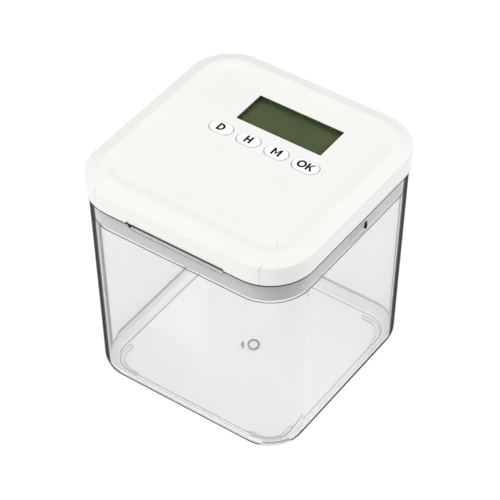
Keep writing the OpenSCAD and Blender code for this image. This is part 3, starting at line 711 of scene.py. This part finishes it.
def make_key_gap_shade():
    """Dark linings round the keys: painted shade for the shadow in the fine gap between each key and the lid."""
    bm = bmesh.new()
    for _, x, l, w in KEYS:
        rows = loft(bm, [(stadium(x, KEY_Y, l + 2 * d, w + 2 * d), S + z)
                         for d, z in ((0.43, 13.0), (0.43, 14.0), (0.14, 14.0), (0.14, 13.0))], close=False)
        n = len(rows[0])
        for i in range(n):
            j = (i + 1) % n
            bm.faces.new((rows[-1][i], rows[-1][j], rows[0][j], rows[0][i]))
    wells = from_bm("key_gap_shade", bm)
    tidy(wells, 40, 0.0001)
    paint(wells, "gap_shade")
    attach(wells, "lid")


make_top()
make_battery_cover()
make_gap_shade()
make_key_gap_shade()


# ---------------------------------------------------------------- keys and their legends
def bar(a, b, w):
    """A straight stroke as a four-point outline."""
    a, b = Vector(a), Vector(b)
    n = (b - a).normalized()
    n = Vector((-n.y, n.x)) * w / 2
    return [a + n, b + n, b - n, a - n]


def legend(letter):
    """Outlines of one plain capital, 6 tall, as lists of quads. Returns (quads, width)."""
    h, w = 6.0, 1.32
    quads = []

    def strip(outer, inner, closed):
        n = len(outer)
        for i in range(n if closed else n - 1):
            j = (i + 1) % n
            quads.append([outer[i], outer[j], inner[j], inner[i]])
    if letter == "H":
        quads += [[(0, 0), (w, 0), (w, h), (0, h)], [(4.3 - w, 0), (4.3, 0), (4.3, h), (4.3 - w, h)],
                  [(w, h / 2 - w / 2), (4.3 - w, h / 2 - w / 2), (4.3 - w, h / 2 + w / 2), (w, h / 2 + w / 2)]]
        return quads, 4.3
    if letter == "D":
        outer = [(0, 0)] + [(1.6 + 3.0 * math.cos(a), h / 2 + h / 2 * math.sin(a)) for a in [math.radians(-90 + 180 * i / 24) for i in range(25)]] + [(0, h)]
        inner = [(w, w)] + [(1.6 + (3.0 - w) * math.cos(a), h / 2 + (h / 2 - w) * math.sin(a)) for a in [math.radians(-90 + 180 * i / 24) for i in range(25)]] + [(w, h - w)]
        strip(outer, inner, True)
        return quads, 4.6
    if letter == "O":
        n = 40
        outer = [(2.9 + 2.9 * math.cos(2 * math.pi * i / n), h / 2 + (h / 2 + 0.05) * math.sin(2 * math.pi * i / n)) for i in range(n)]
        inner = [(2.9 + (2.9 - w) * math.cos(2 * math.pi * i / n), h / 2 + (h / 2 + 0.05 - w) * math.sin(2 * math.pi * i / n)) for i in range(n)]
        strip(outer, inner, True)
        return quads, 5.8
    if letter == "K":
        quads += [[(0, 0), (w, 0), (w, h), (0, h)]]
        quads += [[(w, 1.9), (w, 3.3), (3.1, h), (4.4, h)]]
        quads += [[(1.6, 2.6), (2.35, 3.45), (4.6, 0), (3.3, 0)]]
        return quads, 4.6
    # M
    t = 5.7
    quads += [[(0, 0), (w, 0), (w, h), (0, h)], [(t - w, 0), (t, 0), (t, h), (t - w, h)]]
    quads += [[(w, h), (w, h - 2.1), (t / 2, 0.7), (t / 2, 2.6)]]
    quads += [[(t - w, h), (t - w, h - 2.1), (t / 2, 0.7), (t / 2, 2.6)]]
    return quads, t


def make_key(node_name, x, l, w, text):
    top, edge = S + 15.2, 0.55
    bm = bmesh.new()
    prof = [(0.9, 11.25), (1.0, 11.35), (1.0, 12.05), (0.9, 12.15), (0.0, 12.15), (0.0, 15.2 - edge)]
    prof += [(-edge + edge * math.cos(math.radians(a)), 15.2 - edge + edge * math.sin(math.radians(a))) for a in (15, 30, 45, 60, 75, 90)]
    loft(bm, [(stadium(x, KEY_Y, l + 2 * d, w + 2 * d, 28), S + z) for d, z in prof])
    o = from_bm(node_name + "_cap", bm)
    tidy(o, 40, 0.0001)
    paint(o, "key")
    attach(o, node_name)
    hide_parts(node_name)
    # printed legend, a hair proud of the key
    parts, total, gap = [], 0.0, 0.45
    for ch in text:
        quads, width = legend(ch)
        parts.append((quads, total))
        total += width + gap
    total -= gap
    bm = bmesh.new()
    for quads, dx in parts:
        for q in quads:
            pts = [(p[0] + dx - total / 2 + x, p[1] - 3.0 + KEY_Y + 0.1) for p in q]
            lo = [bm.verts.new((a * MM, b * MM, (top - 0.03) * MM)) for a, b in pts]
            hi = [bm.verts.new((a * MM, b * MM, (top + 0.03) * MM)) for a, b in pts]
            bm.faces.new(lo[::-1])
            bm.faces.new(hi)
            for i in range(4):
                j = (i + 1) % 4
                bm.faces.new((lo[i], lo[j], hi[j], hi[i]))
    g = from_bm(node_name + "_legend", bm)
    paint(g, "ink")
    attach(g, node_name)


for (node_name, x, l, w), text in zip(KEYS, ("D", "H", "M", "OK")):
    make_key(node_name, x, l, w, text)


# ---------------------------------------------------------------- stage and light
def make_stage():
    bm = bmesh.new()
    bmesh.ops.create_circle(bm, cap_ends=True, segments=96, radius=2.2)
    for v in bm.verts:
        v.co.z = -0.0002
    floor = from_bm("floor", bm)
    m, nt, out = tree("floor_paper")
    p = node(nt, "ShaderNodeBsdfPrincipled")
    p.inputs["Roughness"].default_value = 1.0
    p.inputs["Specular IOR Level"].default_value = 0.0
    p.inputs["Emission Color"].default_value = (1, 1, 1, 1)
    p.inputs["Emission Strength"].default_value = 0.70
    tc = node(nt, "ShaderNodeTexCoord")
    n = node(nt, "ShaderNodeTexNoise")
    n.inputs["Scale"].default_value = 3
    nt.links.new(tc.outputs["Object"], n.inputs["Vector"])
    mix = node(nt, "ShaderNodeMix", data_type="RGBA")
    mix.inputs[6].default_value = (0.35, 0.35, 0.35, 1)
    mix.inputs[7].default_value = (0.37, 0.37, 0.37, 1)
    nt.links.new(n.outputs["Fac"], mix.inputs[0])
    nt.links.new(mix.outputs[2], p.inputs[0])
    geo = node(nt, "ShaderNodeNewGeometry")
    see = node(nt, "ShaderNodeBsdfTransparent")
    ms = node(nt, "ShaderNodeMixShader")
    nt.links.new(geo.outputs["Backfacing"], ms.inputs[0])
    nt.links.new(p.outputs[0], ms.inputs[1])
    nt.links.new(see.outputs[0], ms.inputs[2])
    nt.links.new(ms.outputs[0], out.inputs[0])
    floor.data.materials.append(m)
    if floor.data.polygons[0].normal.z < 0:
        floor.data.flip_normals()

    world = bpy.data.worlds.new("studio")
    scene.world = world
    world.use_nodes = True
    nt = world.node_tree
    nt.nodes.clear()
    out = nt.nodes.new("ShaderNodeOutputWorld")
    bg = nt.nodes.new("ShaderNodeBackground")
    # soft room: brightest overhead, a little brighter in front than behind, darker low down at the back
    tc = nt.nodes.new("ShaderNodeTexCoord")
    dot = nt.nodes.new("ShaderNodeVectorMath")
    dot.operation = "DOT_PRODUCT"
    dot.inputs[1].default_value = (0.04, -0.08, 0.50)
    add = nt.nodes.new("ShaderNodeMath")
    add.operation = "ADD"
    add.inputs[1].default_value = 0.47
    top = nt.nodes.new("ShaderNodeMath")
    top.operation = "MAXIMUM"
    top.inputs[1].default_value = 0.05
    nt.links.new(tc.outputs["Generated"], dot.inputs[0])
    nt.links.new(dot.outputs["Value"], add.inputs[0])
    back = nt.nodes.new("ShaderNodeVectorMath")
    back.operation = "DOT_PRODUCT"
    back.inputs[1].default_value = (-0.55, 0.78, -0.9)
    over = nt.nodes.new("ShaderNodeMapRange")
    over.inputs["From Min"].default_value, over.inputs["From Max"].default_value = 0.3, 1.3
    over.inputs["To Max"].default_value = 0.9
    less = nt.nodes.new("ShaderNodeMath")
    less.operation = "SUBTRACT"
    nt.links.new(tc.outputs["Generated"], back.inputs[0])
    nt.links.new(back.outputs["Value"], over.inputs["Value"])
    nt.links.new(add.outputs[0], less.inputs[0])
    nt.links.new(over.outputs[0], less.inputs[1])
    nt.links.new(less.outputs[0], top.inputs[0])
    nt.links.new(top.outputs[0], bg.inputs["Strength"])
    bg.inputs[0].default_value = (1, 1, 1, 1)
    nt.links.new(bg.outputs[0], out.inputs[0])


def lamp(name, where, size, power, target=(0, 0, 0.08)):
    data = bpy.data.lights.new(name, "AREA")
    data.shape = "RECTANGLE"
    data.size, data.size_y = size
    data.energy = power
    o = bpy.data.objects.new(name, data)
    scene.collection.objects.link(o)
    o.location = where
    o.rotation_mode = "QUATERNION"
    o.rotation_quaternion = (Vector(target) - Vector(where)).to_track_quat("-Z", "Y")


make_stage()
lamp("left_box", (-0.57, -0.81, 0.92), (0.5, 0.7), 5.0)
lamp("right_box", (0.62, 0.82, 0.88), (0.5, 0.7), 5.0)
